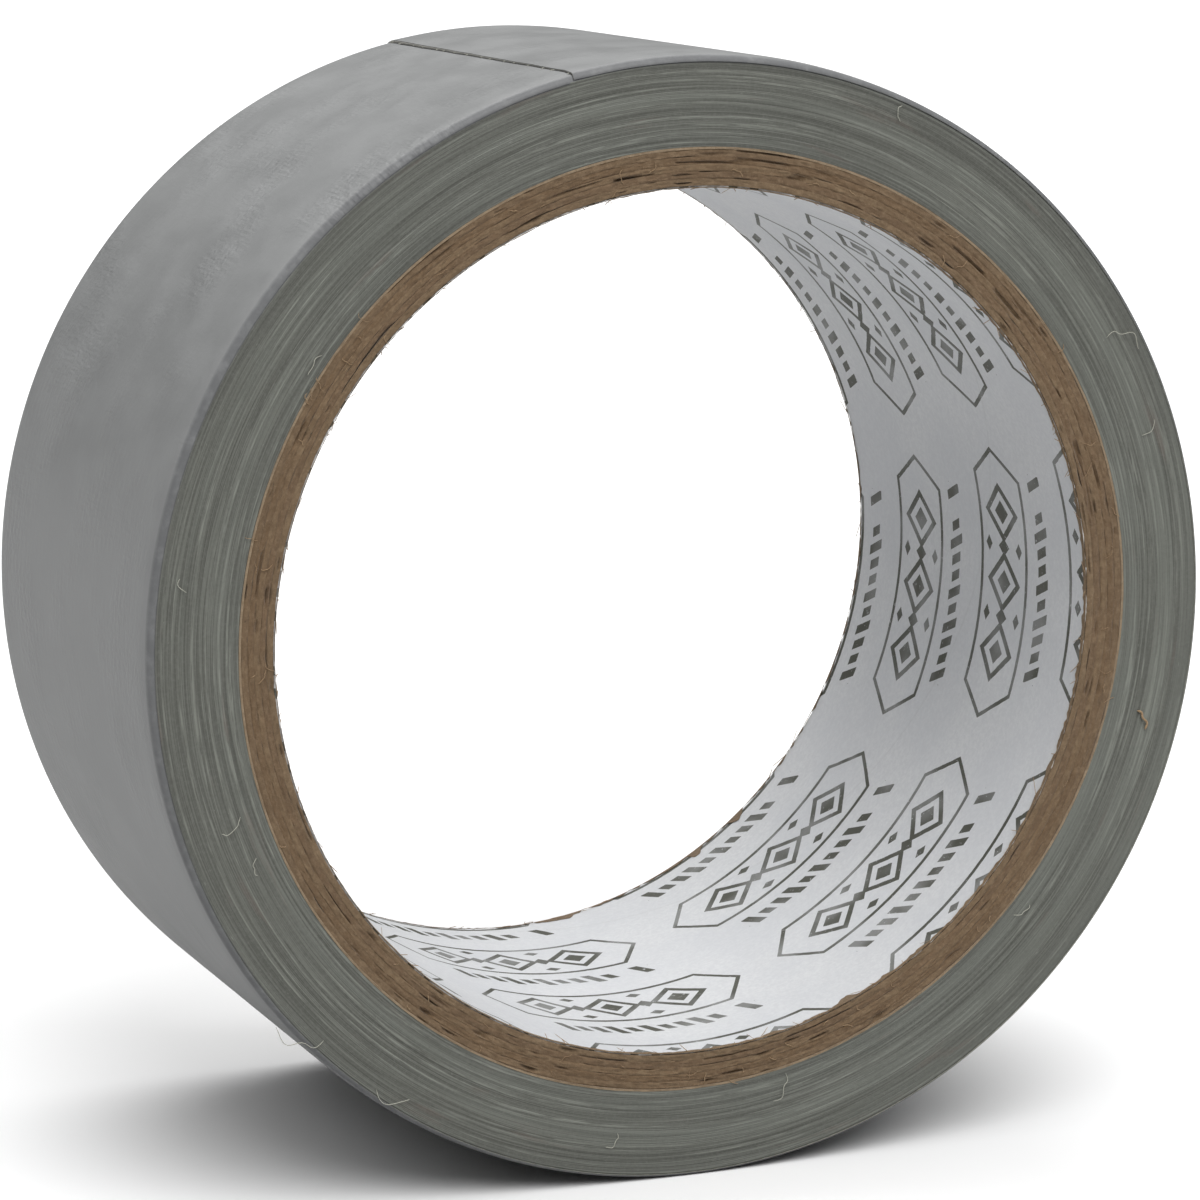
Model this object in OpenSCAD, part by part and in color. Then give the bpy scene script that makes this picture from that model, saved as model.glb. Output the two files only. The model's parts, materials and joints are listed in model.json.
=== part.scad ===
// Duct tape roll: a wound paper core carrying 53 turns of cloth-backed tape.
// The inner turns are bonded into one body whose outline is a two-centre
// spiral. The last turn and the free end are drawn as adhesive, cloth and film.
// The roll stands on its rim with its axis along Y, and the origin is the
// centre of the bore at mid width. Units are millimetres, +Z is up.
// Angles run counter-clockwise from +X, as seen from the front (-Y).

/* [Core] */
// Bore diameter: the standard 3 inch tape core
core_id = 76.2; // [50:0.1:80]
// Thickness of the printed white liner paper inside the bore
liner_t = 0.15; // [0.1:0.01:0.3]
// Thickness of one kraft ply; the core wall has five of them
ply_t = 0.62; // [0.4:0.01:0.8]
// Thickness of the pale outer wrap that the tape sticks to
wrap_t = 0.2; // [0.1:0.01:0.4]
// Glue gap left outside the liner and outside each ply
glue_gap = 0.005; // [0.002:0.001:0.01]

/* [Tape] */
// Width of the tape and of the core
tape_w = 48; // [24:1:72]
// Radial pitch of one turn: adhesive, cloth and film together
pitch = 0.15; // [0.14:0.01:0.28]
// Number of turns wound on the core
turns = 53; // [6:1:60]
// Angle at which the outermost turn ends
end_angle = 103.7; // [60:0.1:170]
// Share of the pitch taken by the adhesive
adhesive_share = 0.36; // [0.3:0.01:0.45]
// Share of the pitch taken by the cloth scrim
scrim_share = 0.27; // [0.2:0.01:0.3]
// Clearance beneath each layer of the laminate
layer_gap = 0.004; // [0.002:0.001:0.008]

/* [Free end] */
// Arc taken by one flexing segment of the free end; there are six
seg_angle = 8; // [5:0.5:9]
// Clearance between two neighbouring segments, as an angle
seg_gap = 0.02; // [0.01:0.01:0.05]

/* [Hidden] */
$fn = 180;

plies = 5;
segments = 6;
// How far a bore cutter reaches past each side of the roll
cut_margin = 1;

// Inner radii of the liner, the plies, the wrap and the tape
bore_r = core_id / 2;
ply_r = bore_r + liner_t;
wrap_r = ply_r + plies * ply_t;
tape_r = wrap_r + wrap_t;

// Inner radius of the last turn, before and after the step at end_angle
last_r = tape_r + (turns - 2) * pitch;
end_r = last_r + pitch;

// Inner and outer height of each layer above the inner radius of its turn
adhesive_top = pitch * adhesive_share;
scrim_top = pitch * (adhesive_share + scrim_share);
adhesive_span = [layer_gap, adhesive_top];
scrim_span = [adhesive_top + layer_gap, scrim_top];
film_span = [scrim_top + layer_gap, pitch];

// Angle at which the last turn stops and the free end begins
fixed_end = end_angle - segments * seg_angle;

// Layer colours
kraft = [0.55, 0.43, 0.30];
kraft_dark = [0.48, 0.37, 0.26];
wrap_tan = [0.78, 0.66, 0.48];
liner_white = [0.86, 0.87, 0.88];
film_grey = [0.56, 0.57, 0.57];
scrim_pale = [0.74, 0.73, 0.68];
adhesive_olive = [0.42, 0.43, 0.38];
side_grey = [0.41, 0.42, 0.38];

// Stands the roll up: the winding plane XY becomes XZ, seen from -Y
module upright() rotate([90, 0, 0]) children();

// A cutter that clears everything inside a radius
module bore_cut(radius)
    cylinder(r = radius, h = tape_w + 2 * cut_margin, center = true);

// A tube about the roll axis
module tube(inner, outer) {
    difference() {
        cylinder(r = outer, h = tape_w, center = true);
        bore_cut(inner);
    }
}

// A full-width strip between two radii and two angles
module arc_strip(inner, outer, from, to) {
    rotate_extrude(angle = to - from, start = from)
        translate([inner, -tape_w / 2])
            square([outer - inner, tape_w]);
}

// The centre of the lower half-turns, half a pitch to the right of the axis,
// so that every half-turn meets the next exactly
module lower_centre() translate([pitch / 2, 0, 0]) children();

// The solid winding under the last turn, with its step at end_angle
module winding() {
    difference() {
        union() {
            arc_strip(bore_r, end_r, 0, end_angle);
            arc_strip(bore_r, last_r, end_angle, 180);
            lower_centre() arc_strip(bore_r, last_r + pitch / 2, 180, 360);
        }
        bore_cut(tape_r);
    }
}

// One layer of a turn whose inner radius is given
module layer_arc(radius, span, from, to)
    arc_strip(radius + span[0], radius + span[1], from, to);

// One layer of the last turn, from the step round to the free end
module last_turn(span) {
    layer_arc(last_r, span, end_angle, 180);
    lower_centre() layer_arc(last_r + pitch / 2, span, 180, 360);
    layer_arc(end_r, span, 0, fixed_end);
}

// One layer of segment i of the free end; the last segment has no gap after it
module end_segment(i, span) {
    from = fixed_end + (i - 1) * seg_angle + seg_gap / 2;
    to = fixed_end + i * seg_angle - (i < segments ? seg_gap / 2 : 0);
    layer_arc(end_r, span, from, to);
}

// Printed paper that lines the bore
module core_liner() color(liner_white) upright()
    tube(bore_r, ply_r - glue_gap);

// Kraft ply i of the core wall, counted outward
module core_ply(i) color(i % 2 == 1 ? kraft : kraft_dark) upright()
    tube(ply_r + (i - 1) * ply_t, ply_r + i * ply_t - glue_gap);

// Pale wrap paper on the outside of the core
module core_wrap() color(wrap_tan) upright() tube(wrap_r, tape_r);

// All the turns beneath the last one, bonded together
module wound_tape() color(side_grey) upright() winding();

// The last full turn, in its three laminated layers
module outer_adhesive() color(adhesive_olive) upright() last_turn(adhesive_span);
module outer_scrim() color(scrim_pale) upright() last_turn(scrim_span);
module outer_film() color(film_grey) upright() last_turn(film_span);

// Segment i of the free end, in the same three layers
module end_adhesive(i) color(adhesive_olive) upright() end_segment(i, adhesive_span);
module end_scrim(i) color(scrim_pale) upright() end_segment(i, scrim_span);
module end_film(i) color(film_grey) upright() end_segment(i, film_span);

core_liner();
core_ply(1);  // core_ply_1
core_ply(2);  // core_ply_2
core_ply(3);  // core_ply_3
core_ply(4);  // core_ply_4
core_ply(5);  // core_ply_5
core_wrap();
wound_tape();
outer_adhesive();
outer_scrim();
outer_film();
end_adhesive(1);  // end_adhesive_1
end_scrim(1);  // end_scrim_1
end_film(1);  // end_film_1
end_adhesive(2);  // end_adhesive_2
end_scrim(2);  // end_scrim_2
end_film(2);  // end_film_2
end_adhesive(3);  // end_adhesive_3
end_scrim(3);  // end_scrim_3
end_film(3);  // end_film_3
end_adhesive(4);  // end_adhesive_4
end_scrim(4);  // end_scrim_4
end_film(4);  // end_film_4
end_adhesive(5);  // end_adhesive_5
end_scrim(5);  // end_scrim_5
end_film(5);  // end_film_5
end_adhesive(6);  // end_adhesive_6
end_scrim(6);  // end_scrim_6
end_film(6);  // end_film_6
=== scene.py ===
"""A roll of cloth tape on a printed paper core, standing on its rim on a pale floor.

The roll's axis is Y, with the front side facing -Y. Angles are in degrees about that axis, from +X
towards +Z. The winding ends in a free end made of six hinged segments. Shapes are worked out in mm
and turned into metres when a mesh is made.
"""
import json
import math
from collections import namedtuple
from functools import cached_property

import bpy
import numpy as np
from mathutils import Matrix, Vector


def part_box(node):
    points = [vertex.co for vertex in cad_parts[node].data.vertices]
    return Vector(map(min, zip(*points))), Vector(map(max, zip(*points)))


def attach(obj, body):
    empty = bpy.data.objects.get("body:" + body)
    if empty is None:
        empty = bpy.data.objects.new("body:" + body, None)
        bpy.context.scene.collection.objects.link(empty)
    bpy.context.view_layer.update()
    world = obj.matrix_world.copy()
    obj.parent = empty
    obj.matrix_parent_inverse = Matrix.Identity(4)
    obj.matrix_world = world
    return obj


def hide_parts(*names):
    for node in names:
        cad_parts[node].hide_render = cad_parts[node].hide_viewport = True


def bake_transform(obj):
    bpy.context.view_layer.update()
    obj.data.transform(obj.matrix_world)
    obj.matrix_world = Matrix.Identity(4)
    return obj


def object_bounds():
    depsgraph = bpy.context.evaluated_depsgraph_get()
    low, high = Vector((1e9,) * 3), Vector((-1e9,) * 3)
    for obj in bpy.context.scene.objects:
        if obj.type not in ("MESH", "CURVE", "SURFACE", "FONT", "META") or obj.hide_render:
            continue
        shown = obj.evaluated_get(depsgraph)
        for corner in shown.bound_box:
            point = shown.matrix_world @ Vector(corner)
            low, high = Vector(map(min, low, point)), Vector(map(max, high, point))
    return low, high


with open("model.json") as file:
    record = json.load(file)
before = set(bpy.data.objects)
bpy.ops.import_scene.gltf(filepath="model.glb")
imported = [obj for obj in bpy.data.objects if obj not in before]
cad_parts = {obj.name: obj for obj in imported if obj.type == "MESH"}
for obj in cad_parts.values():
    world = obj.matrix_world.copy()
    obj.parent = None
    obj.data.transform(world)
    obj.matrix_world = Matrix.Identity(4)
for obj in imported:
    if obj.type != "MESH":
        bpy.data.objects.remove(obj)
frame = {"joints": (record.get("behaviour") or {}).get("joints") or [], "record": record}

CAD_BOX = [[float(c) for c in v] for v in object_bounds()]
MM = 0.001


def box(node):
    """Low and high corners of a CAD piece, in mm."""
    low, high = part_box(node)
    return [c * 1000 for c in low], [c * 1000 for c in high]


# ---------------------------------------------------------------- sizes from the frame, in mm
joints = {j["name"]: j["pos_m"] for j in frame["joints"]}
hinges = [joints[f"peel_{i}"] for i in range(1, 7)]
HINGE_DEG = [math.degrees(math.atan2(p[2], p[0])) for p in hinges]
R_OUT = 1000 * math.hypot(hinges[0][0], hinges[0][2])
R_BORE = next(m for m in frame["record"]["mounts"] if m["name"] == "core_bore")["dims"]["r_mm"]
Y_FRONT, Y_BACK = box("core_liner")[0][1], box("core_liner")[1][1]
HALF = (Y_BACK - Y_FRONT) / 2
R_LINER = box("core_liner")[1][0]
R_PLY = [box(f"core_ply_{i}")[1][0] for i in range(1, 6)]
R_WRAP = box("core_wrap")[1][0]
PITCH = R_OUT - box("wound_tape")[1][2]     # thickness of one turn of tape
TURNS = int(round((R_OUT - R_WRAP) / PITCH))
LAST = TURNS - 1                            # index of the outermost turn
END_DEG = math.degrees(math.acos(box("end_film_6")[0][0] / R_OUT))
FLOOR_Z = CAD_BOX[0][2]                     # in metres
SIDES = ((Y_FRONT, 1), (Y_BACK, -1))        # each side plane, and the inward direction along Y

# ---------------------------------------------------------------- chosen sizes, in mm
ROUND_WIDTH = 2.6       # gentle rounding at each edge of the tape
FOLD_WIDTH = 0.62       # tight fold within it
WARP_GAP, WEFT_GAP = 1.25, 2.3              # wavelengths of the cloth's weave
PLY_GAP = 0.005         # gap between neighbouring tubes of the core
SEAM_Y, SEAM_DEG = 2.0, 17.8                # the liner's butt seam is at SEAM_Y at -SEAM_DEG
SEAM_SLOPE = -0.276     # how far the seam moves along Y in one degree

# Stations across the tape: distances in from each edge, then the middle.
EDGE = np.array([0.03, 0.07, 0.12, 0.19, 0.28, 0.38, 0.50, 0.62, 0.8, 1.1, 1.5, 2.0, 2.8, 4.5])


def across(edge, middle):
    return np.concatenate([-HALF + edge, middle, HALF - edge[::-1]])


SHEET_ACROSS = across(EDGE, np.linspace(-17, 17, 12))
WINDING_ACROSS = across(EDGE[4:13], [-14.0, 0.0, 14.0])


# ---------------------------------------------------------------- noise and easing
def cell_noise(u, v, count, seed):
    """Smooth noise in -1..1. u repeats every count cells, v doesn't repeat within 512."""
    table = np.random.default_rng(seed).random((count, 512)) * 2 - 1
    u, v = np.broadcast_arrays(np.asarray(u, float), np.asarray(v, float))
    col, row = np.floor(u).astype(int), np.floor(v).astype(int)
    part_u, part_v = u - col, v - row
    part_u, part_v = part_u * part_u * (3 - 2 * part_u), part_v * part_v * (3 - 2 * part_v)

    def blend(row):
        a, b = table[col % count, row % 512], table[(col + 1) % count, row % 512]
        return a * (1 - part_u) + b * part_u

    return blend(row) * (1 - part_v) + blend(row + 1) * part_v


def round_noise(deg, cells, seed, v=0.5):
    """Noise that closes on itself after one lap of the roll."""
    return cell_noise(deg / 360 * cells, v, cells, seed)


def across_noise(y, per_mm, seed):
    return cell_noise(y * per_mm + 60, 0.5, 400, seed)


def smooth_step(x, start, end):
    part = np.clip((x - start) / (end - start), 0, 1)
    return part * part * (3 - 2 * part)


# ---------------------------------------------------------------- the roll's form
def rim_share(y):
    """Share of the full drop at y: a gentle rounding, then a tight fold at the very edge."""
    inset = HALF - np.abs(y)
    gentle = np.clip((ROUND_WIDTH - inset) / ROUND_WIDTH, 0, 1)
    fold = np.clip((FOLD_WIDTH - inset) / FOLD_WIDTH, 0, 0.985)
    return 0.26 * gentle**2 + 0.74 * (1 - np.sqrt(1 - fold**2))


SIDE_SHARE = rim_share(HALF - EDGE[0])


def crown(radius, y, deg, share=None):
    """Pulls the turns in towards the core near both edges. The back rim drops less."""
    drop = 0.60 - 0.42 * np.cos(np.radians(deg + 40))
    drop = drop * np.where(np.asarray(y) > 0, 0.4, 1.0)
    share = rim_share(y) if share is None else share
    return R_WRAP + (radius - R_WRAP) * (1 - drop / (R_OUT - R_WRAP) * share)


def turn_radius(wound):
    """Inner radius of the strip after winding through some degrees, on a two-centre spiral."""
    wound = np.asarray(wound, float)
    turn = np.floor(wound / 360)
    deg = wound - 360 * turn
    rise = np.where(deg > 180, PITCH / 2 * (1 + np.cos(np.radians(deg))), 0)
    return R_WRAP + turn * PITCH + rise


def last_radius(deg):
    return turn_radius(360 * LAST + deg)


def polar(radius, deg, y):
    """Points from radius, angle and y. The roll is out of round, most of all at the wrap."""
    radius, angle, y = np.broadcast_arrays(radius, np.radians(deg), y)
    out = (0.24 * np.cos(angle - 0.1) + 0.10 * np.cos(2 * angle - 1.2)
           + 0.07 * np.cos(3 * angle + 0.2))
    inside = smooth_step(radius, R_LINER, R_WRAP)
    outside = smooth_step(radius, R_WRAP + 5.5, R_WRAP)
    radius = radius + out * inside * outside
    return np.stack([radius * np.cos(angle), y, radius * np.sin(angle)], -1)


def seam_offset(y, deg):
    """Distance along Y from the liner's seam. Takes arrays or shader scalars."""
    return y - SEAM_Y - (deg + SEAM_DEG) * SEAM_SLOPE


# ---------------------------------------------------------------- mesh helpers
def build(name, points, quads, materials, face_material=None, sharp=38):
    """A mesh from points in mm, turned outward, keeping its rest position as an attribute."""
    points = np.asarray(points, float).reshape(-1, 3)
    quads = np.asarray(quads, int).reshape(-1, 4)
    a, b, c, d = (points[quads[:, i]] for i in range(4))
    volume = sum(np.einsum("ij,ij->i", a, np.cross(p, q)) for p, q in ((b, c), (c, d))).sum()
    if volume < 0:
        quads = quads[:, ::-1].copy()
    mesh = bpy.data.meshes.new(name)
    mesh.vertices.add(len(points))
    mesh.vertices.foreach_set("co", (points * MM).astype(np.float32).ravel())
    mesh.loops.add(quads.size)
    mesh.loops.foreach_set("vertex_index", quads.ravel().astype(np.int32))
    mesh.polygons.add(len(quads))
    mesh.polygons.foreach_set("loop_start", (np.arange(len(quads)) * 4).astype(np.int32))
    mesh.polygons.foreach_set("loop_total", np.full(len(quads), 4, np.int32))
    mesh.update(calc_edges=True)
    mesh.validate()
    rest = mesh.attributes.new("rest", "FLOAT_VECTOR", "POINT")
    rest.data.foreach_set("vector", points.astype(np.float32).ravel())
    for material in materials:
        mesh.materials.append(material)
    if face_material is not None:
        mesh.polygons.foreach_set("material_index", np.asarray(face_material, np.int32))
    mesh.shade_smooth()
    mesh.set_sharp_from_angle(angle=math.radians(sharp))
    return add_object(name, mesh)


def add_object(name, data):
    ob = bpy.data.objects.new(name, data)
    bpy.context.scene.collection.objects.link(ob)
    return ob


def grid(rows, steps, wrap_rows, wrap_steps):
    """Quads over points laid out as rows of steps, closed on themselves where wrapped."""
    i = np.arange(rows if wrap_rows else rows - 1)[:, None]
    j = np.arange(steps if wrap_steps else steps - 1)[None, :]
    i2, j2 = (i + 1) % rows, (j + 1) % steps
    corners = (i * steps + j, i2 * steps + j, i2 * steps + j2, i * steps + j2)
    return np.stack(np.broadcast_arrays(*corners), -1).reshape(-1, 4)


def strip_caps(rows, steps):
    """End caps for a closed section of rows whose row i faces row rows-1-i."""
    i = np.arange(rows // 2 - 1)
    corners = [i, rows - 1 - i, rows - 2 - i, i + 1]
    start = np.stack(corners, -1) * steps
    end = np.stack([corners[k] for k in (0, 3, 2, 1)], -1) * steps + steps - 1
    return np.concatenate([start, end])


def piece(ob, body="roll", nodes=()):
    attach(ob, body)
    if nodes:
        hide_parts(*nodes)


# ---------------------------------------------------------------- shader helpers
def operation(kind):
    return lambda self, *others: self.graph.math(kind, self, *others)


class Scalar:
    """A scalar socket that can be used in formulas."""

    def __init__(self, graph, socket):
        self.graph = graph
        self.socket = socket

    __add__ = operation("ADD")
    __sub__ = operation("SUBTRACT")
    __mul__ = operation("MULTIPLY")
    abs = operation("ABSOLUTE")
    fract = operation("FRACT")
    floor = operation("FLOOR")
    round = operation("ROUND")
    sin = operation("SINE")
    cos = operation("COSINE")
    less = operation("LESS_THAN")
    more = operation("GREATER_THAN")
    max = operation("MAXIMUM")
    min = operation("MINIMUM")

    def __rsub__(self, other):
        return self.graph.math("SUBTRACT", other, self)

    def ramp(self, start, end, low=0.0, high=1.0):
        """Smooth step from low at start to high at end."""
        node = self.graph.node("ShaderNodeMapRange", interpolation_type="SMOOTHSTEP")
        self.graph.feed(node.inputs["Value"], self)
        limits = {"From Min": start, "From Max": end, "To Min": low, "To Max": high}
        for key, value in limits.items():
            node.inputs[key].default_value = value
        return Scalar(self.graph, node.outputs["Result"])


class Graph:
    def __init__(self, tree):
        self.tree = tree

    def node(self, kind, **settings):
        node = self.tree.nodes.new(kind)
        for key, value in settings.items():
            setattr(node, key, value)
        return node

    def feed(self, socket, value):
        """Links a scalar or socket, or sets a number or an RGB colour."""
        if isinstance(value, Scalar):
            value = value.socket
        if isinstance(value, bpy.types.NodeSocket):
            self.tree.links.new(value, socket)
        else:
            socket.default_value = (*value, 1.0) if isinstance(value, tuple) else value

    def math(self, kind, *values):
        node = self.node("ShaderNodeMath", operation=kind)
        for i, value in enumerate(values):
            self.feed(node.inputs[i], value)
        return Scalar(self, node.outputs[0])

    def mix(self, factor, a, b):
        node = self.node("ShaderNodeMix", data_type="RGBA")
        self.feed(node.inputs["Factor"], factor)
        self.feed(node.inputs[6], a)
        self.feed(node.inputs[7], b)
        return node.outputs[2]


class Material(Graph):
    """A principled material whose textures follow the rest position in mm."""

    def __init__(self, name):
        self.material = bpy.data.materials.new(name)
        self.material.use_nodes = True
        super().__init__(self.material.node_tree)
        self.tree.nodes.clear()
        output = self.node("ShaderNodeOutputMaterial")
        self.shader = self.node("ShaderNodeBsdfPrincipled")
        self.feed(output.inputs[0], self.shader.outputs[0])
        rest = self.node("ShaderNodeAttribute", attribute_name="rest")
        self.pos = rest.outputs["Vector"]

    @cached_property
    def xyz(self):
        split = self.node("ShaderNodeSeparateXYZ")
        self.feed(split.inputs[0], self.pos)
        return [Scalar(self, split.outputs[i]) for i in range(3)]

    @property
    def y(self):
        return self.xyz[1]

    @cached_property
    def angle(self):
        x, _, z = self.xyz
        return self.math("ARCTAN2", z, x)

    @cached_property
    def deg(self):
        return self.angle * (180 / math.pi)

    @cached_property
    def radius(self):
        x, _, z = self.xyz
        return self.math("SQRT", x * x + z * z)

    @cached_property
    def cos(self):
        return self.angle.cos()

    @cached_property
    def sin(self):
        return self.angle.sin()

    def noise(self, vector, scale=1.0, detail=2.0, rough=0.5, seed=0.0):
        node = self.node("ShaderNodeTexNoise", noise_dimensions="4D")
        self.feed(node.inputs["Vector"], vector)
        settings = {"W": seed, "Scale": scale, "Detail": detail, "Roughness": rough}
        for key, value in settings.items():
            node.inputs[key].default_value = value
        return Scalar(self, node.outputs["Fac"])

    def lap_noise(self, axis, per_mm, lap, **settings):
        """Noise along axis (y or radius) and round the roll; lap sets how busy it is round."""
        node = self.node("ShaderNodeCombineXYZ")
        for i, value in enumerate((axis * per_mm, self.cos * lap, self.sin * lap)):
            self.feed(node.inputs[i], value)
        return self.noise(node.outputs[0], **settings)

    def weave(self):
        """Waves of the cloth's warp and weft threads."""
        lap = self.angle * R_OUT
        warp = (self.y * (2 * math.pi / WARP_GAP)).sin()
        weft = (lap * (2 * math.pi / WEFT_GAP)).sin()
        return warp, weft

    def tip(self):
        """Mask for the last degrees of the free end, which are darkened: partly painted shadow of
        the step at the cut, partly dirt.
        """
        return self.deg.ramp(END_DEG - 2.2, END_DEG - 1.6)

    def tint(self, base, colour, mask, amount):
        return self.mix(mask * amount, base, colour)

    def finish(self, colour, rough, spec, bumps, sheen=0.0):
        """Sets the surface. Each bump is its height, strength and distance in metres."""
        inputs = self.shader.inputs
        self.feed(inputs["Base Color"], colour)
        self.feed(inputs["Roughness"], rough)
        inputs["Specular IOR Level"].default_value = spec
        inputs["Sheen Weight"].default_value = sheen
        normal = None
        for height, strength, distance in bumps:
            node = self.node("ShaderNodeBump")
            node.inputs["Strength"].default_value = strength
            node.inputs["Distance"].default_value = distance
            self.feed(node.inputs["Height"], height)
            if normal is not None:
                self.feed(node.inputs["Normal"], normal)
            normal = node.outputs[0]
        self.feed(inputs["Normal"], normal)
        return self.material


def srgb(*rgb):
    """Linear colour from 0..255 values."""
    return tuple(c / 255 / 12.92 if c <= 10 else ((c / 255 + 0.055) / 1.055) ** 2.4 for c in rgb)


# ---------------------------------------------------------------- materials
def film_material():
    """Satin polyethylene with the cloth beneath it showing as a faint emboss."""
    g = Material("satin_film")
    warp, weft = g.weave()
    patch = g.lap_noise(g.y, 0.09, lap=4.2, seed=3.1).ramp(0.42, 0.68, low=0.12)
    ripple = g.lap_noise(g.y, 0.55, lap=150.0, detail=1.0, seed=9.0)
    mottle = g.lap_noise(g.y, 1.7, lap=60.0, rough=0.6, seed=19.0)
    emboss = (warp * 0.14 + weft * 0.20 + ripple * 1.6 + mottle * 3.0) * patch
    grain = g.noise(g.pos, scale=9.0, rough=0.6, seed=1.0)
    wave = g.lap_noise(g.y, 0.06, lap=7.0, seed=5.0)

    tone = g.lap_noise(g.y, 0.12, lap=9.0, detail=3.0, rough=0.55, seed=2.0)
    colour = g.mix(tone.ramp(0.3, 0.7), srgb(138, 139, 139), srgb(146, 147, 147))
    scuff = g.lap_noise(g.y, 0.8, lap=20.0, detail=4.0, rough=0.7, seed=12.0).ramp(0.66, 0.74)
    colour = g.tint(colour, srgb(174, 176, 176), scuff, amount=0.25)
    # painted highlight along both rims: a lighter line for the fold's highlight, partly a torn edge
    edge = g.y.abs().ramp(HALF - 0.30, HALF - 0.05)
    torn_edge_and_highlight = g.lap_noise(g.y, 2.0, lap=60.0, rough=0.6, seed=15.0).ramp(0.40, 0.60)
    colour = g.tint(colour, srgb(176, 178, 174), edge * torn_edge_and_highlight, amount=0.18)
    # painted shade: the film darkens in cloudy patches over its last 0.75 mm at both rims, where it
    # rounds over
    cloud = g.noise(g.pos, scale=0.9, detail=3.0, rough=0.6, seed=31.0)
    rim_painted_shade = g.y.abs().ramp(HALF - 0.75, HALF - 0.25) * cloud.ramp(0.2, 0.6, low=0.55)
    colour = g.tint(colour, srgb(94, 95, 97), rim_painted_shade, amount=0.75)
    rough = tone.ramp(0.3, 0.7, low=0.39, high=0.47) + scuff * 0.1
    bumps = [(emboss, 0.65, 0.00007), (grain, 0.12, 0.00003), (wave, 0.11, 0.0005)]
    return g.finish(colour, rough, spec=0.27, bumps=bumps)


def side_material():
    """The slit side of the winding: dull grey-green with fine pale and dark rings, and broad
    lighter rings that are painted sheen.
    """
    g = Material("wound_side_edge")

    def rings(per_mm, lap, seed, detail=0.0):
        return g.lap_noise(g.radius, per_mm, lap, detail=detail, rough=0.6, seed=seed)

    turn = rings(7.4, lap=3.0, seed=1.0, detail=1.0)
    fine = rings(4.2, lap=2.2, seed=11.0)
    middle = rings(2.1, lap=1.2, seed=21.0, detail=1.0)
    band = rings(0.62, lap=0.45, seed=34.0, detail=1.0)
    broken = rings(5.0, lap=16.0, seed=41.0, detail=2.0)
    fleck = rings(8.0, lap=60.0, seed=7.0, detail=2.0)
    speck = g.noise(g.pos, scale=6.0, detail=3.0, rough=0.7, seed=2.0)
    outward = (g.radius - R_WRAP) * (1 / (R_OUT - R_WRAP))
    warm = g.lap_noise(g.radius, 0.9, lap=5.0, seed=55.0)
    dust = g.noise(g.pos, scale=3.0, detail=5.0, rough=0.75, seed=61.0)
    colour = g.mix(turn.ramp(0.36, 0.64), srgb(91, 92, 86), srgb(112, 114, 107))
    for tint, mask, amount in (
            ((149, 152, 143), fine.ramp(0.57, 0.68) * broken.ramp(0.38, 0.62), 0.55),
            ((73, 74, 68), fine.ramp(0.44, 0.33), 0.35),
            ((143, 146, 138), middle.ramp(0.58, 0.70) * broken.ramp(0.3, 0.66), 0.45),
            ((76, 77, 72), middle.ramp(0.42, 0.30), 0.35),
            # painted sheen: broad rings made lighter where their roughness is also lower
            ((134, 138, 130), band.ramp(0.48, 0.66), 0.28),
            ((80, 80, 76), outward.ramp(0.60, 1.0), 0.30),
            ((117, 103, 96), warm.ramp(0.62, 0.74), 0.30),
            ((128, 129, 124), dust.ramp(0.45, 0.65), 0.22),
            ((80, 81, 76), dust.ramp(0.45, 0.30), 0.30),
            ((168, 170, 162), fleck.ramp(0.68, 0.78), 0.5),
            ((61, 62, 56), speck.ramp(0.68, 0.80), 0.30)):
        colour = g.tint(colour, srgb(*tint), mask, amount)
    bumps = [(turn * 0.8 + fine * 0.8 + fleck * 0.5, 0.5, 0.00005), (speck, 0.3, 0.00005)]
    return g.finish(colour, band.ramp(0.3, 0.7, low=0.62, high=0.50), spec=0.35, bumps=bumps)


def paper_material(name, dark, mid, light, seed):
    """Rough cut board: fibres lying round the core, with painted shade in pulled-out gaps and small
    pits.
    """
    g = Material(name)
    dark, mid, light = srgb(*dark), srgb(*mid), srgb(*light)
    fibre = g.lap_noise(g.radius, 5.0, lap=70.0, detail=3.0, rough=0.65, seed=seed)
    fine = g.noise(g.pos, scale=4.2, detail=5.0, rough=0.8, seed=seed + 3)
    grit = g.noise(g.pos, scale=11.0, detail=3.0, rough=0.7, seed=seed + 4)
    big = g.noise(g.pos, scale=0.35, seed=seed + 6)
    soft = g.noise(g.pos, scale=1.5, detail=3.0, rough=0.6, seed=seed + 15)
    gap = g.lap_noise(g.radius, 4.5, lap=14.0, detail=3.0, rough=0.6, seed=seed + 9)
    pit_shade = g.noise(g.pos, scale=2.3, seed=seed + 12)
    colour = g.mix(fibre.ramp(0.10, 0.62), dark, mid)
    for tint, mask, amount in (
            (light, fine.ramp(0.48, 0.72), 0.75),
            (dark, fine.ramp(0.42, 0.28), 0.55),
            (light, grit.ramp(0.56, 0.70), 0.45),
            (dark, grit.ramp(0.44, 0.30), 0.35),
            (dark, big.ramp(0.35, 0.65), 0.25),
            (light, soft.ramp(0.45, 0.7), 0.35),
            # painted shade in the pulled-out gaps and small pits
            (tuple(c * 0.35 for c in dark), gap.ramp(0.70, 0.78), 0.22),
            (tuple(c * 0.4 for c in dark), pit_shade.ramp(0.74, 0.80), 0.5)):
        colour = g.tint(colour, tint, mask, amount)
    bumps = [(fibre * 0.4 + fine, 0.6, 0.00012)]
    return g.finish(colour, rough=0.86, spec=0.25, bumps=bumps, sheen=0.15)


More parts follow.
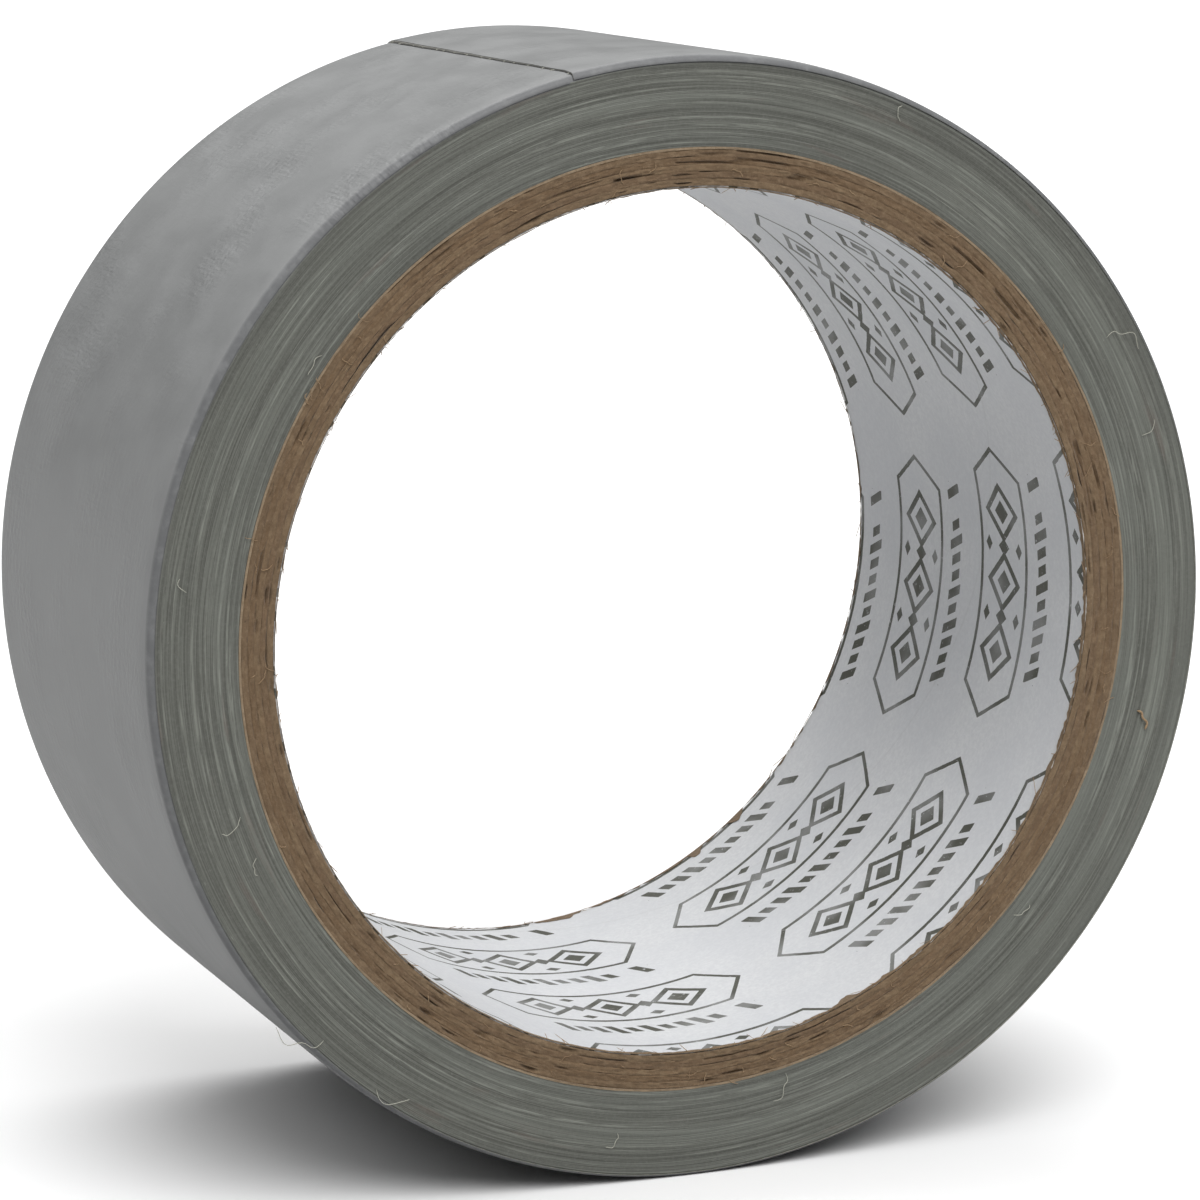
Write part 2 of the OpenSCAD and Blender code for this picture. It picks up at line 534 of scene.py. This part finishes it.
def liner_ink(g):
    """Mask of the print: long hexagons holding diamonds, and rows of slanted ticks between."""
    repeats = 8              # round the bore
    row_gap = 17.75          # between rows, along Y
    row_shift = 0.11         # of a repeat, from row to row
    diamond_gap = 6.6
    tick_gap = 1.62
    depth = g.y - Y_FRONT
    cell = 2 * math.pi * R_BORE / repeats
    wobble = (g.noise(g.pos, scale=1.6, seed=3.0) - 0.5) * 0.10
    lap = g.angle * (repeats / (2 * math.pi)) + 0.43

    # u runs round the bore and v along it, both from the middle of a hexagon
    row = ((depth + 1.5) * (1 / row_gap)).round()
    v = depth + 1.5 - row * row_gap + wobble
    u = ((lap + row * row_shift).fract() - 0.5) * cell + wobble
    abs_v, abs_u = v.abs(), u.abs()
    hexagon = (abs_v - 4.75).max(abs_u + abs_v * 0.60 - 13.0)
    ink = (hexagon + 0.25).abs().less(0.25)
    # three diamonds, each an outline round a solid one
    index = (u * (1 / diamond_gap)).max(-1.0).min(1.0).round()
    diamond = (u - index * diamond_gap).abs() * (1 / 2.9) + abs_v * (1 / 3.3)
    ink = ink.max((diamond - 0.86).abs().less(0.14))
    ink = ink.max(diamond.less(0.40))
    # small marks halfway between the diamonds: one on the centre line, one to each side of it
    between = (abs_u * (1 / diamond_gap) - 0.5).abs() * diamond_gap
    ink = ink.max((between + abs_v * 0.8).less(0.85))
    ink = ink.max(((abs_v - 3.0).abs() + between * 0.8).less(0.62))

    tick_depth = depth - 8.6
    row = (tick_depth * (1 / row_gap)).round()
    v = tick_depth - row * row_gap + wobble
    u = ((lap + row * row_shift + 0.06).fract() - 0.5) * cell
    abs_v = v.abs()
    slant = u + v * 0.42
    tick = (slant * (1 / tick_gap)).fract()
    index = (slant * (1 / tick_gap)).floor()
    # heights vary and some ticks are left out, by fixed but uneven steps of the index
    tall = (index * 0.3819).fract().ramp(0.2, 0.8, low=0.75, high=1.25)
    kept = (index * 0.2361 + 0.17).fract().more(0.12)
    ticks = (tick - 0.5).abs().less(0.29) * (abs_v - tall).less(0.0) * u.abs().less(9.8) * kept
    ink = ink.max(ticks)

    wear = g.noise(g.pos, scale=3.2, detail=4.0, rough=0.7, seed=8.0).ramp(0.27, 0.40)
    thin = g.noise(g.pos, scale=0.18, seed=5.0).ramp(0.32, 0.6, low=0.72)
    return ink * wear * thin


def liner_material():
    """White paper printed in dark olive, with a butt seam and a worn rim."""
    g = Material("printed_liner")
    ink = liner_ink(g)
    seam = seam_offset(g.y, g.deg).abs()
    fibre = g.noise(g.pos, scale=2.6, detail=4.0, rough=0.65, seed=1.0)
    cloud = g.noise(g.pos, scale=0.10, seed=2.0)
    rim = (HALF - g.y.abs()).ramp(1.0, 0.0)
    colour = g.mix(fibre.ramp(0.35, 0.7), srgb(214, 215, 217), srgb(224, 225, 226))
    colour = g.tint(colour, srgb(206, 208, 212), cloud.ramp(0.35, 0.65), amount=0.4)
    colour = g.tint(colour, srgb(150, 148, 142), seam.less(0.16), amount=0.08)
    colour = g.tint(colour, srgb(170, 160, 142), rim * fibre.ramp(0.35, 0.6), amount=0.5)
    colour = g.tint(colour, srgb(64, 64, 50), ink, amount=0.94)
    bumps = [(fibre, 0.25, 0.00006), (seam.ramp(0.0, 0.35), 0.25, 0.00005)]
    return g.finish(colour, rough=0.62, spec=0.35, bumps=bumps)


def adhesive_material():
    """Tacky rubber adhesive with the cloth's weave telegraphing through it."""
    g = Material("rubber_adhesive")
    warp, weft = g.weave()
    weave = warp.ramp(0.55, 1.0).max(weft.ramp(0.62, 1.0))
    lump = g.noise(g.pos, scale=1.8, detail=4.0, rough=0.6, seed=4.0)
    colour = g.mix(lump.ramp(0.3, 0.7), srgb(112, 114, 104), srgb(132, 134, 122))
    colour = g.tint(colour, srgb(168, 168, 154), weave, amount=0.5)
    # the last degrees darkened: partly painted shadow of the step at the cut, partly dirt on the
    # bare adhesive
    colour = g.tint(colour, srgb(98, 96, 92), g.tip(), amount=0.92)
    rough = lump.ramp(0.3, 0.7, low=0.26, high=0.42)
    return g.finish(colour, rough, spec=0.5, bumps=[(weave + lump * 0.5, 0.6, 0.00007)])


def scrim_material():
    """Woven cloth, darker at the tip: partly painted shadow of the step at the cut, partly dirt."""
    g = Material("cloth_scrim_weave")
    warp, weft = (wave.abs() for wave in g.weave())
    twist = g.noise(g.pos, scale=14.0, detail=3.0, rough=0.6, seed=1.0)
    weave = warp.max(weft).ramp(0.4, 1.0)
    colour = g.mix(weave, srgb(122, 123, 112), srgb(196, 195, 182))
    colour = g.tint(colour, srgb(150, 148, 134), twist.ramp(0.4, 0.6), amount=0.3)
    # the last degrees darkened: partly painted shadow of the step at the cut, partly dirt
    colour = g.tint(colour, srgb(102, 101, 97), g.tip(), amount=0.85)
    bumps = [(warp.max(weft) + twist * 0.4, 0.7, 0.00006)]
    return g.finish(colour, rough=0.8, spec=0.3, bumps=bumps, sheen=0.2)


def thread_material(name, dark, light):
    g = Material(name)
    fuzz = g.noise(g.pos, scale=12.0, detail=3.0, rough=0.6, seed=1.0)
    colour = g.mix(fuzz.ramp(0.35, 0.65), srgb(*dark), srgb(*light))
    return g.finish(colour, rough=0.75, spec=0.3, bumps=[(fuzz, 0.4, 0.00003)], sheen=0.3)


KRAFT_COLOURS = (   # dark, middle and light of each ply, from the bore outward
    ((96, 79, 59), (125, 104, 80), (150, 129, 103)),
    ((90, 72, 54), (119, 97, 74), (144, 123, 98)),
    ((95, 77, 57), (124, 102, 78), (148, 128, 101)),
    ((90, 71, 52), (118, 96, 72), (143, 122, 97)),
    ((93, 75, 56), (121, 100, 77), (147, 126, 100)))

FILM = film_material()
SIDE = side_material()
KRAFT = [paper_material(f"kraft_ply_{i + 1}", *colours, seed=2.0 + i * 1.7)
         for i, colours in enumerate(KRAFT_COLOURS)]
WRAP = paper_material("tan_wrap", (118, 99, 77), (150, 131, 107), (170, 152, 129), seed=21.0)
LINER = liner_material()
ADHESIVE = adhesive_material()
SCRIM = scrim_material()
THREAD = thread_material("loose_thread", (160, 160, 148), (188, 187, 174))
TAN_FIBRE = thread_material("paper_fibre", (136, 108, 78), (176, 150, 116))


# ---------------------------------------------------------------- core: liner, plies and wrap
def tube(name, r_in, r_out, steps, rings, ends, material, bore_rows=2, bore=None):
    """A closed tube. ends(side, radius, deg) recesses its end faces; bore(radius, deg, y)
    shapes its inner wall."""
    deg = np.arange(steps) * 360.0 / steps
    radii = np.linspace(r_in, r_out, rings)
    levels = np.linspace(Y_FRONT, Y_BACK, bore_rows + 2)[1:-1]

    def end_face(side, radii):
        edge, inward = SIDES[side]
        return [(np.full(steps, r), edge + inward * ends(side, r, deg)) for r in radii]

    def wall(radius, levels):
        return [(np.full(steps, radius), np.full(steps, y)) for y in levels]

    rows = end_face(0, radii) + wall(r_out, levels[[0, -1]])
    rows += end_face(1, radii[::-1]) + wall(r_in, levels[::-1])
    radius, y = (np.array(part) for part in zip(*rows))
    if bore is not None:
        radius = np.where(np.abs(radius - r_in) < 1e-6, bore(radius, deg[None, :], y), radius)
    quads = grid(len(rows), steps, True, True)
    return build(name, polar(radius, deg[None, :], y), quads, [material])


def ply_ends(index, r_in, r_out):
    """Fibrous end faces, grooved where plies meet, with some fibres pulled out."""
    def recess(side, radius, deg):
        seed = index * 31 + side * 7
        depth = (0.05 + 0.045 * round_noise(deg, 300, seed, radius / 0.16)
                 + 0.035 * round_noise(deg, 760, seed + 1, radius / 0.11))
        depth = depth + 0.03 * round_noise(deg, 60, seed + 2, radius / 0.5)
        groove = 0.06 * max(0.0, 1 - min(radius - r_in, r_out - radius) / 0.10)
        depth = depth + groove * (0.6 + 0.5 * round_noise(deg, 120, seed + 3, radius / 0.4))
        pull = np.clip(round_noise(deg, 90, seed + 4, radius / 0.35) - 0.62, 0, 1) * 1.1
        return np.clip(depth + pull, 0.0, 0.6)
    return recess


def liner_ends(side, radius, deg):
    depth = 0.22 + 0.10 * round_noise(deg, 260, 71 + side) + 0.10 * round_noise(deg, 700, 73 + side)
    return np.clip(depth, 0.03, 0.6)


def liner_bore(radius, deg, y):
    """Slight waves, and a small step at the butt seam that fades behind it."""
    seam = seam_offset(y, np.mod(deg + 180, 360) - 180)
    step = 0.035 * smooth_step(seam, -0.25, 0.25) * smooth_step(seam, 24, 8)
    return radius - 0.02 - 0.02 * round_noise(deg, 26, 80, y / 7.0) + step * 0.6


def wrap_ends(side, radius, deg):
    depth = (0.03 + 0.04 * round_noise(deg, 340, 90 + side, radius / 0.1)
             + 0.03 * round_noise(deg, 90, 92 + side))
    return np.clip(depth, 0.0, 0.3)


def core():
    liner = tube("printed_core_liner", R_BORE + 0.02, R_LINER, steps=720, rings=2,
                 ends=liner_ends, material=LINER, bore_rows=92, bore=liner_bore)
    piece(liner, nodes=["core_liner"])
    for i, (inside, r_out) in enumerate(zip([R_LINER] + R_PLY, R_PLY)):
        r_in = inside + PLY_GAP
        ply = tube(f"kraft_ply_{i + 1}", r_in, r_out, steps=1440, rings=8,
                   ends=ply_ends(i + 1, r_in, r_out), material=KRAFT[i])
        piece(ply, nodes=[f"core_ply_{i + 1}"])
    wrap = tube("tan_core_wrap", R_PLY[4] + PLY_GAP, R_WRAP - 0.003, steps=1440, rings=4,
                ends=wrap_ends, material=WRAP)
    piece(wrap, nodes=["core_wrap"])


def mouth_fringe(name, side, seed, steps=2160):
    """Ragged paper round a mouth of the bore, longest near the bottom."""
    deg = np.arange(steps) * 360.0 / steps
    edge, inward = SIDES[side]
    low = np.clip(np.cos(np.radians(deg - 285)), 0, 1) ** 4
    long = 0.5 + 0.5 * round_noise(deg, 9, seed + 4) + 0.5 * low
    length = (0.26 + 0.22 * round_noise(deg, 150, seed)
              + 0.22 * round_noise(deg, 540, seed + 1))
    spikes = 2.6 * np.clip(round_noise(deg, 130, seed + 2) - 0.5, 0, 1)
    length = np.clip(length * (0.6 + 0.7 * long) + spikes * long, 0.05, 1.5)
    lift = 0.05 + 0.05 * np.clip(round_noise(deg, 240, seed + 3), 0, 1)
    parts = (0.0, 0.35, 0.7, 1.0)
    rows = []
    for offset, reach, order in ((-0.005, 1.0, parts), (0.035, 0.98, parts[::-1])):
        for part in order:
            rows.append((R_BORE + offset - lift * part,
                         edge + inward * (0.06 + length * part * reach)))
    radius, y = (np.array(part) for part in zip(*rows))
    quads = grid(len(rows), steps, True, True)
    piece(build(name, polar(radius, deg[None, :], y), quads, [KRAFT[0]]))


# ---------------------------------------------------------------- winding beneath the last turn
TURN_LINES = ((0.0, 0.02), (0.28, 0.0), (0.72, 0.004))   # part of a pitch, extra recess


def side_recess(side, turn, deg):
    """How far each turn's edge sits behind the side plane. turn counts from the core."""
    seed = 400 + side * 50
    wound = turn + deg / 360
    deg = np.mod(deg, 360)
    band = (0.05 + 0.05 * round_noise(deg, 5, seed, wound / 7.0)
            + 0.03 * round_noise(deg, 9, seed + 1, wound / 2.3))
    each = 0.022 * round_noise(deg, 14, seed + 2, np.floor(wound + 1e-6) + 0.5)
    fray = 0.005 * round_noise(deg, 240, seed + 3, wound * 3.1)
    return np.clip(band + each + fray, 0.0, 0.3)


def winding_cap(radii, deg, step, count):
    """A grid that closes the section at one step of deg, sharing the section's points.
    count is the number of points made before it."""
    lines, width = len(radii), len(WINDING_ACROSS)
    ids = np.zeros((lines, width + 2), int)
    ids[:, 0] = np.arange(lines)
    ids[:, -1] = lines + width + np.arange(lines)[::-1]
    ids[-1, 1:-1] = lines + np.arange(width)
    ids[0, 1:-1] = 2 * lines + width + np.arange(width)[::-1]
    ids = ids * len(deg) + step
    points = []
    for j in range(1, lines - 1):
        radius = crown(radii[j][step], WINDING_ACROSS, deg[step])
        points.append(polar(radius, deg[step], WINDING_ACROSS))
        ids[j, 1:-1] = count + np.arange(width)
        count += width
    quads = np.stack([ids[:-1, :-1], ids[1:, :-1], ids[1:, 1:], ids[:-1, 1:]], -1).reshape(-1, 4)
    return np.concatenate(points), quads[:, ::-1] if step == 0 else quads


def winding(name, first, stop, nodes, outer_film, steps=601):
    """The turns from first up to stop as one solid, with film on its outside if asked."""
    deg = np.linspace(END_DEG - 360, END_DEG, steps)
    lines = [(k + part, gap) for k in range(first, stop) for part, gap in TURN_LINES]
    lines.append((float(stop), 0.02))

    def line_radius(turn):
        whole = math.floor(turn)
        part = turn - whole
        radius = (turn_radius(360 * whole + deg) * (1 - part)
                  + turn_radius(360 * (whole + 1) + deg) * part)
        return np.maximum(radius, R_WRAP + 0.0025 * (turn + 0.2))

    radii = [line_radius(turn) for turn, _ in lines]

    def side_rows(side):
        edge, inward = SIDES[side]
        return [(crown(radius, -inward, deg, SIDE_SHARE),
                 edge + inward * side_recess(side, turn, deg) + inward * gap)
                for radius, (turn, gap) in zip(radii, lines)]

    def skin_rows(radius):
        levels = [np.full(steps, y) for y in WINDING_ACROSS]
        return [(crown(radius, level, deg), level) for level in levels]

    rows = side_rows(0) + skin_rows(radii[-1])
    rows += side_rows(1)[::-1] + skin_rows(radii[0] + 0.002)[::-1]
    radius, y = (np.array(part) for part in zip(*rows))
    points = [polar(radius, deg[None, :], y).reshape(-1, 3)]
    quads = [grid(len(rows), steps, True, False)]
    for step in (0, steps - 1):
        cap_points, cap_quads = winding_cap(radii, deg, step, sum(map(len, points)))
        points.append(cap_points)
        quads.append(cap_quads)
    quads = np.concatenate(quads)
    face_material = np.zeros(len(quads), int)
    if outer_film:
        start, end = len(lines) - 1, len(lines) + len(WINDING_ACROSS)
        face_material[start * (steps - 1):end * (steps - 1)] = 1
    ob = build(name, np.concatenate(points), quads, [SIDE, FILM], face_material, sharp=60)
    piece(ob, nodes=nodes)


# ---------------------------------------------------------------- last turn and free end
ADHESIVE_TOP, SCRIM_TOP = 0.36 * PITCH, 0.63 * PITCH
LAYER_GAP = 0.002
# low and high are limits within one pitch; inset is from the tape's edges; shrink is how fully
# the layer draws back from the cut at the tip
Layer = namedtuple("Layer", "name low high material slot inset shrink seed")
LAYERS = (
    Layer("film", SCRIM_TOP + LAYER_GAP, PITCH, FILM, "backing_film", 0.0, 1.0, 502),
    Layer("scrim", ADHESIVE_TOP + LAYER_GAP, SCRIM_TOP, SCRIM, "cloth_scrim", 0.02, 0.35, 503),
    Layer("adhesive", LAYER_GAP, ADHESIVE_TOP, ADHESIVE, "adhesive", 0.03, 0.0, 504))


def tip_end(y, layer):
    """Angle of the cut: slightly slanted and uneven. The film has shrunk back from the cloth
    and adhesive, most of all towards the back edge."""
    slant = 0.1 * (-y / HALF) - 0.55
    rough = 0.07 * across_noise(y, 2.2, 500) + 0.05 * across_noise(y, 0.45, 501)
    back = smooth_step(y, -HALF * 0.9, HALF)
    bare = (0.05 + 0.36 * back) * (1 + 0.25 * across_noise(y, 0.9, layer.seed))
    return END_DEG + slant + rough - bare * layer.shrink


def tip_lift(y, deg):
    """The very tip stands a little off the turn beneath, with its front corner raised."""
    near = smooth_step(deg, END_DEG - 3.2, END_DEG + 0.6)
    along = 0.025 + 0.035 * smooth_step(y, -HALF * 0.5, HALF) + 0.015 * across_noise(y, 0.35, 510)
    corner = (0.07 * smooth_step(-y, HALF - 3.5, HALF)
              * smooth_step(deg, END_DEG - 2.2, END_DEG + 0.4))
    return near * along + corner


def sheet(name, deg, layer, free=False, cut=False):
    """One layer of tape as a thin closed strip. A free one lifts at the tip; a cut one ends
    at the tip's uneven cut."""
    steps, width = len(deg), len(SHEET_ACROSS)
    y = SHEET_ACROSS[:, None] * (1 - layer.inset / HALF)
    angles = np.broadcast_to(deg[None, :], (width, steps)).copy()
    if cut:
        start = deg[0]
        angles = start + (angles - start) * (tip_end(y, layer) - start) / (deg[-1] - start)
    radius = last_radius(angles)
    bottom, top = crown(radius + layer.low, y, angles), crown(radius + layer.high, y, angles)
    if free:
        lift = tip_lift(y, angles)
        bottom, top = bottom + lift, top + lift
    shoulder = 0.35 * (layer.high - layer.low) * smooth_step(np.abs(y), HALF - 0.12, HALF)
    top = top - shoulder
    points = np.concatenate([polar(top, angles, y), polar(bottom, angles, y)[::-1]], 0)
    quads = np.concatenate([grid(2 * width, steps, True, False), strip_caps(2 * width, steps)])
    return build(name, points, quads, [layer.material], sharp=50)


def last_turn():
    """The outermost turn up to the first hinge. Only the film has the full number of steps."""
    start, stop = END_DEG - 360, HINGE_DEG[0]
    fine = np.linspace(start, stop, int(round((stop - start) / 0.26)) + 1)
    coarse = fine[::2] if len(fine) % 2 else np.append(fine[::2], fine[-1])
    for layer in LAYERS:
        ob = sheet(f"last_turn_{layer.name}", fine if layer.name == "film" else coarse, layer)
        piece(ob, nodes=[f"outer_{layer.name}"])


def free_end():
    """Seven lengths per layer, meeting midway between hinges; only the last is attached, to
    free_end_6.
    """
    half_segment = (HINGE_DEG[1] - HINGE_DEG[0]) / 2
    cuts = [HINGE_DEG[0]] + [h + half_segment for h in HINGE_DEG] + [END_DEG]
    for layer in LAYERS:
        for i, (start, stop) in enumerate(zip(cuts, cuts[1:])):
            deg = np.linspace(start, stop, max(8, int(round((stop - start) / 0.25)) + 1))
            ob = sheet(f"free_{layer.name}_{i + 1}", deg, layer, free=True, cut=i == 6)
            if i == 6:
                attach(ob, "free_end_6")
                continue
            parent = "roll" if i == 0 else f"free_end_{i}"
            # the peel line is a tight crease; bend_stop is 1.2 degrees past it for the first length
            # and the segment's end for the others
            bend_stop = start + 1.2 if i == 0 else stop
            f"free_end_{i + 1}"
            tuple(polar(R_OUT, start, 0.0) * MM)
            tuple(polar(R_OUT, bend_stop, 0.0) * MM)
            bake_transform(ob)
            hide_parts(f"end_{layer.name}_{i + 1}")


# ---------------------------------------------------------------- loose threads and fibres
def strands(name, paths, radii, material):
    """Many short closed six-sided strands as one mesh, tapered at their ends."""
    sides = 6
    turn = np.linspace(0, 2 * math.pi, sides, endpoint=False)
    cap = np.array([(0, 1, 2, 3), (0, 3, 4, 5)])
    points, quads, base = [], [], 0
    for path, radius in zip(paths, radii):
        count = len(path)
        tangent = np.gradient(path, axis=0)
        tangent /= np.linalg.norm(tangent, axis=1)[:, None]
        a = np.cross(tangent, np.array([0.31, 0.83, 0.46]))
        a /= np.linalg.norm(a, axis=1)[:, None]
        b = np.cross(tangent, a)
        taper = np.ones(count)
        taper[0], taper[-1] = 0.45, 0.35
        ring = path[:, None] + radius * taper[:, None, None] * (
            np.cos(turn)[None, :, None] * a[:, None] + np.sin(turn)[None, :, None] * b[:, None])
        points.append(ring.reshape(-1, 3))
        far = base + (count - 1) * sides
        quads += [base + grid(count, sides, False, True), base + cap, far + cap[:, ::-1]]
        base += count * sides
    return build(name, np.concatenate(points), np.concatenate(quads), [material], sharp=80)


def wisp(radius, deg, length, heading, curl, y, out, count=17):
    """A curling strand from (radius, deg) that drifts round the roll and off its side."""
    part = np.linspace(0, 1, count)
    angle = heading + curl * part * 2.2
    lap = np.cumsum(np.cos(angle)) * length / count
    rise = np.cumsum(np.sin(angle)) * length / count
    kink = 0.05 * length * np.sin(part * (9 + 3 * curl))
    return polar(radius + rise + kink, deg + np.degrees((lap + kink * 0.6) / radius),
                 y + out * (0.03 + 0.5 * np.sin(part * 2.4) * length * 0.14))


# Threads on the winding's sides: radius, angle, length, heading in radians, curl
FRONT_THREADS = (
    (45.8, 30.5, 4.2, 1.3, 0.9), (45.6, 18.5, 2.2, 2.0, -0.8), (47.6, -135.5, 5.2, 1.9, 0.6),
    (48.2, -127.8, 4.0, 0.8, -0.9), (43.5, -162.3, 2.6, 0.4, 0.7), (41.9, -77.7, 3.0, 1.6, 0.5),
    (45.2, -99.2, 2.0, 1.2, 0.8), (42.3, 143.0, 2.2, 0.6, -0.5), (47.2, 66.0, 1.8, 0.3, 0.8),
    (44.0, 205.0, 1.7, 2.6, 0.7), (46.8, 171.0, 1.6, 0.5, -0.9), (43.0, -40.0, 2.0, 2.8, 0.6))
BACK_THREADS = (
    (46.2, 140.0, 3.6, 1.0, 0.8), (44.1, 60.0, 2.4, 2.2, -0.6), (47.3, -60.0, 4.0, 1.7, 0.7),
    (42.6, -150.0, 2.0, 0.5, 0.9), (45.0, 10.0, 2.8, 1.2, -0.7), (48.0, 100.0, 1.8, 0.2, 0.6))
SLIVER = (44.6, -13.8, 2.2, 1.8, 0.5)


def side_threads():
    paths = [wisp(*row, Y_FRONT, -1) for row in FRONT_THREADS]
    paths += [wisp(*row, Y_BACK, 1) for row in BACK_THREADS]
    piece(strands("loose_scrim_threads", paths, [0.034] * len(paths), THREAD))
    sliver = strands("tan_sliver", [wisp(*SLIVER, Y_FRONT, -1)], [0.11], TAN_FIBRE)
    piece(sliver)


def mouth_hair(rng, deg, edge, inward):
    """A hair hanging into the mouth of the bore."""
    length = rng.uniform(0.4, 1.5)
    part = np.linspace(0, 1, 7)
    bend = rng.uniform(-1.3, 1.3)
    radius = R_BORE - 0.02 - rng.uniform(0.1, 0.5) * part * length
    y = edge + inward * (0.12 + rng.uniform(0.0, 0.9) * part * length)
    return polar(radius, deg + np.degrees(bend * part * length / R_BORE), y)


def core_fibres(rng):
    """Hairs in both mouths and on the cut faces of the core."""
    paths, radii = [], []
    for edge, inward in SIDES:
        for _ in range(150):
            deg = rng.uniform(0, 360)
            if rng.random() < 0.55:
                paths.append(mouth_hair(rng, deg, edge, inward))
            else:
                radius = rng.uniform(R_LINER + 0.3, R_WRAP - 0.5)
                length, heading, curl = (rng.uniform(*span) for span in (
                    (0.5, 1.8), (0, 3.1), (-1, 1)))
                paths.append(wisp(radius, deg, length, heading, curl, edge, -inward * 0.35, 7))
            radii.append(rng.uniform(0.018, 0.04))
    piece(strands("core_paper_fibres", paths, radii, TAN_FIBRE))


def tip_threads(rng, count=16, margin=1.2):
    """Threads frayed from the cut at the tip."""
    part = np.linspace(0, 1, 6)
    paths = []
    for i in range(count):
        y = -HALF + margin + i * (2 * HALF - 2 * margin) / (count - 1) + rng.uniform(-0.7, 0.7)
        length = rng.uniform(0.1, 0.4)
        end = float(tip_end(y, LAYERS[1]))
        radius = float(crown(R_OUT - 0.075, y, end))
        deg = end - 0.25 + np.degrees((0.2 + length * part) / R_OUT)
        paths.append(polar(radius + 0.03 * part, deg, y + rng.uniform(-0.25, 0.25) * part))
    threads = strands("tip_frayed_threads", paths, [0.035] * len(paths), THREAD)
    piece(threads, "free_end_6")


# ---------------------------------------------------------------- floor, light and camera
def floor():
    half = 7.0
    mesh = bpy.data.meshes.new("floor")
    corners = [(x * half, y * half, FLOOR_Z) for x, y in ((-1, -1), (1, -1), (1, 1), (-1, 1))]
    mesh.from_pydata(corners, [], [(0, 1, 2, 3)])
    ob = add_object("floor", mesh)
    material = bpy.data.materials.new("pale_floor")
    material.use_nodes = True
    g = Graph(material.node_tree)
    # darker to bounced light, as from a larger table in a darker room
    rays = g.node("ShaderNodeLightPath").outputs
    bounce = g.math("MULTIPLY_ADD", rays["Is Glossy Ray"], 0.8, rays["Is Diffuse Ray"])
    bounce.socket.node.use_clamp = True
    inputs = g.tree.nodes["Principled BSDF"].inputs
    g.feed(inputs["Base Color"], g.mix(bounce, (0.94, 0.94, 0.94), (0.50, 0.50, 0.50)))
    inputs["Roughness"].default_value = 0.85
    inputs["Specular IOR Level"].default_value = 0.1
    mesh.materials.append(material)


def studio():
    """A world bright overhead and dim lower down, but plain white to the camera."""
    world = bpy.data.worlds.new("studio")
    bpy.context.scene.world = world
    world.use_nodes = True
    g = Graph(world.node_tree)
    split = g.node("ShaderNodeSeparateXYZ")
    g.feed(split.inputs[0], g.node("ShaderNodeTexCoord").outputs["Generated"])
    glow = Scalar(g, split.outputs["Z"]).ramp(0.30, 0.95, low=0.03, high=1.3)
    seen = g.node("ShaderNodeMix")
    g.feed(seen.inputs["Factor"], g.node("ShaderNodeLightPath").outputs["Is Camera Ray"])
    g.feed(seen.inputs["A"], glow)
    g.feed(seen.inputs["B"], 1.0)
    background = g.tree.nodes["Background"].inputs
    g.feed(background["Strength"], seen.outputs["Result"])
    g.feed(background["Color"], (1.0, 1.0, 1.0))


def sun(name, toward, strength, spread_deg):
    light = bpy.data.lights.new(name, "SUN")
    light.energy = strength
    light.angle = math.radians(spread_deg)
    ob = add_object(name, light)
    ob.rotation_euler = Vector(toward).to_track_quat("-Z", "Y").to_euler()


def camera():
    """In front of the roll, to its left and above, looking slightly down."""
    data = bpy.data.cameras.new("camera")
    data.lens = 138.03
    data.sensor_width = 36.0
    ob = add_object("camera", data)
    place = Vector((-0.1530, -0.3851, 0.0732))
    right = Vector((0.92872, -0.37077, 0.0)).normalized()
    forward = Vector((0.36486, 0.91394, -0.17774)).normalized()
    up = right.cross(forward).normalized()
    right = forward.cross(up).normalized()
    turn = Matrix((right, up, -forward)).transposed().to_4x4()
    ob.matrix_world = Matrix.Translation(place) @ turn
    bpy.context.scene.camera = ob


# ---------------------------------------------------------------- everything, in order
core()
mouth_fringe("front_mouth_fringe", side=0, seed=200)
mouth_fringe("back_mouth_fringe", side=1, seed=300)
third, two_thirds = LAST // 3, 2 * LAST // 3
winding("winding_inner_turns", 0, third, nodes=["wound_tape"], outer_film=False)
winding("winding_middle_turns", third, two_thirds, nodes=[], outer_film=False)
winding("winding_outer_turns", two_thirds, LAST, nodes=[], outer_film=True)
last_turn()
free_end()
side_threads()
rng = np.random.default_rng(77)
core_fibres(rng)
tip_threads(rng)
floor()
studio()
sun("key_soft", toward=(0.0, 0.76, -1.0), strength=1.85, spread_deg=45)
sun("top_back_soft", toward=(-0.10, -0.45, -1.0), strength=0.75, spread_deg=40)
camera()
bpy.context.scene.view_settings.view_transform = "Standard"
